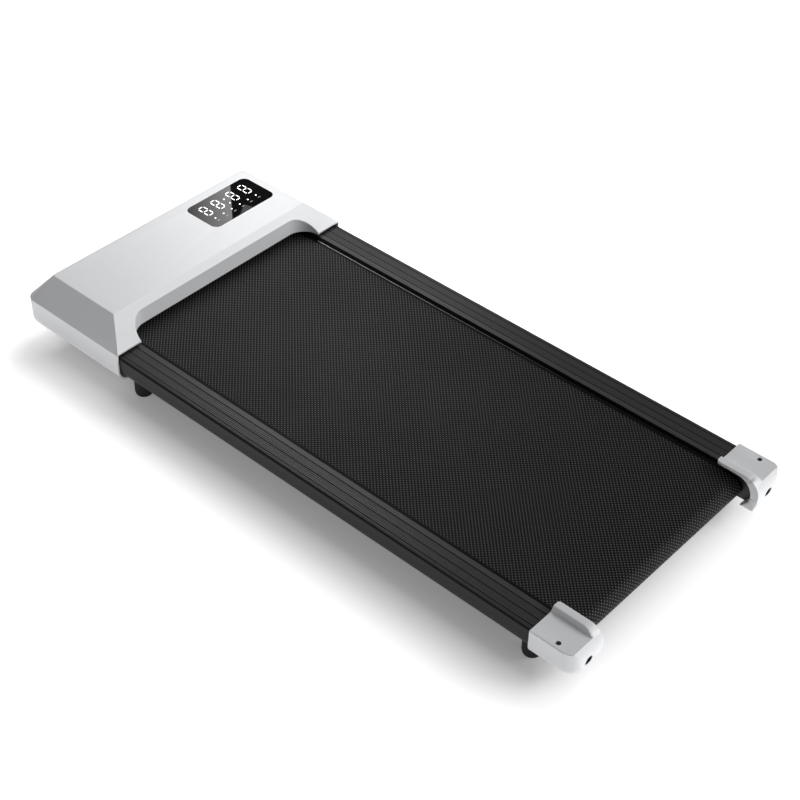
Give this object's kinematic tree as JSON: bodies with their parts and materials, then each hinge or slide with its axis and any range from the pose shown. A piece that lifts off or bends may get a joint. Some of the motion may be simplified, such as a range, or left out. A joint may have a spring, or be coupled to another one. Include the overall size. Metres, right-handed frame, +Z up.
{
  "type": "walking pad treadmill",
  "caption": "Flat under-desk walking pad with a white faceted motor hood, black ribbed foot rails, a dark running belt and white rear end caps.",
  "frame": {"origin": "middle of the footprint, on the floor", "axes": "+X from the motor hood to the rear end, +Y to the walker's right, +Z up"},
  "size_m": [1.142, 0.51, 0.122],
  "materials": {
    "white_shell": "satin pearl white moulding",
    "black_rail": "black ribbed extrusion",
    "belt_surface": "black belt with a fine raised lattice",
    "rubber": "black rubber",
    "deck_board": "waxed fibre board",
    "display_window": "black gloss window",
    "circuit": "circuit board",
    "black_steel": "black powder coat",
    "bright_steel": "zinc plated steel",
    "cast_alloy": "bare alloy",
    "black_plastic": "black moulding",
    "lead_sheath": "cable sheath"
  },
  "bodies": {
    "frame": {"axle_bolts": "bright_steel", "bay_beams": "black_steel", "belly_pan": "black_steel", "cap_screws": "bright_steel", "controller_board": "circuit", "controller_tray": "black_steel", "deck_beams": "black_steel", "deck_cushions": "rubber", "deck_screws": "bright_steel", "display_board": "circuit", "display_cable": "lead_sheath", "display_lens": "display_window", "drive_belt": "rubber", "foot_screws": "bright_steel", "front_axle": "bright_steel", "heat_sink": "cast_alloy", "hood_screws": "bright_steel", "left_end_cap": "white_shell", "left_foot_rail": "black_rail", "left_frame_tube": "black_steel", "left_side_plate": "black_steel", "motor_bracket": "black_steel", "motor_can": "black_steel", "motor_end_bells": "cast_alloy", "motor_hood": "white_shell", "motor_leads": "lead_sheath", "motor_saddle": "black_steel", "motor_screws": "bright_steel", "plate_bolts": "bright_steel", "power_inlet": "black_plastic", "power_leads": "lead_sheath", "power_panel": "black_plastic", "rail_screws": "bright_steel", "rear_axle": "bright_steel", "right_end_cap": "white_shell", "right_foot_rail": "black_rail", "right_frame_tube": "black_steel", "right_side_plate": "black_steel", "rubber_feet": "rubber", "running_belt": "belt_surface", "running_deck": "deck_board", "sensor_lead": "lead_sheath", "speed_sensor": "black_plastic", "switch_frame": "black_plastic", "tension_bolts": "bright_steel", "tube_end_plates": "black_steel", "wheel_axles": "bright_steel", "wheel_brackets": "black_steel"},
    "front_roller": {"front_roller": "bright_steel", "front_bearings": "bright_steel", "drive_pulley": "cast_alloy", "sensor_magnet": "bright_steel"},
    "rear_roller": {"rear_roller": "bright_steel", "rear_bearings": "bright_steel"},
    "rotor": {"motor_armature": "bright_steel", "motor_fan": "black_plastic", "motor_pulley": "cast_alloy"},
    "left_wheel": {"left_transport_wheel": "rubber"},
    "right_wheel": {"right_transport_wheel": "rubber"},
    "rocker": {"power_switch": "black_plastic"}
  },
  "joints": [
    {"name": "front_roller_spin", "type": "hinge", "parent": "frame", "child": "front_roller", "pos_m": [-0.415, 0, 0.0545], "axis": [0, 1, 0], "continuous": true},
    {"name": "rear_roller_spin", "type": "hinge", "parent": "frame", "child": "rear_roller", "pos_m": [0.52, 0, 0.0545], "axis": [0, 1, 0], "continuous": true},
    {"name": "motor_spin", "type": "hinge", "parent": "frame", "child": "rotor", "pos_m": [-0.5015, 0, 0.07], "axis": [0, 1, 0], "continuous": true},
    {"name": "left_wheel_spin", "type": "hinge", "parent": "frame", "child": "left_wheel", "pos_m": [-0.52, -0.175, 0.0145], "axis": [0, 1, 0], "continuous": true},
    {"name": "right_wheel_spin", "type": "hinge", "parent": "frame", "child": "right_wheel", "pos_m": [-0.52, 0.175, 0.0145], "axis": [0, 1, 0], "continuous": true},
    {"name": "power_rock", "type": "hinge", "parent": "frame", "child": "rocker", "pos_m": [-0.563, -0.173, 0.0675], "axis": [0, 0, 1], "range_deg": [0, 16]}
  ],
  "couplings": [
    {"joint": "rear_roller_spin", "follows": "front_roller_spin", "ratio": 1},
    {"joint": "motor_spin", "follows": "front_roller_spin", "ratio": 2.1}
  ]
}
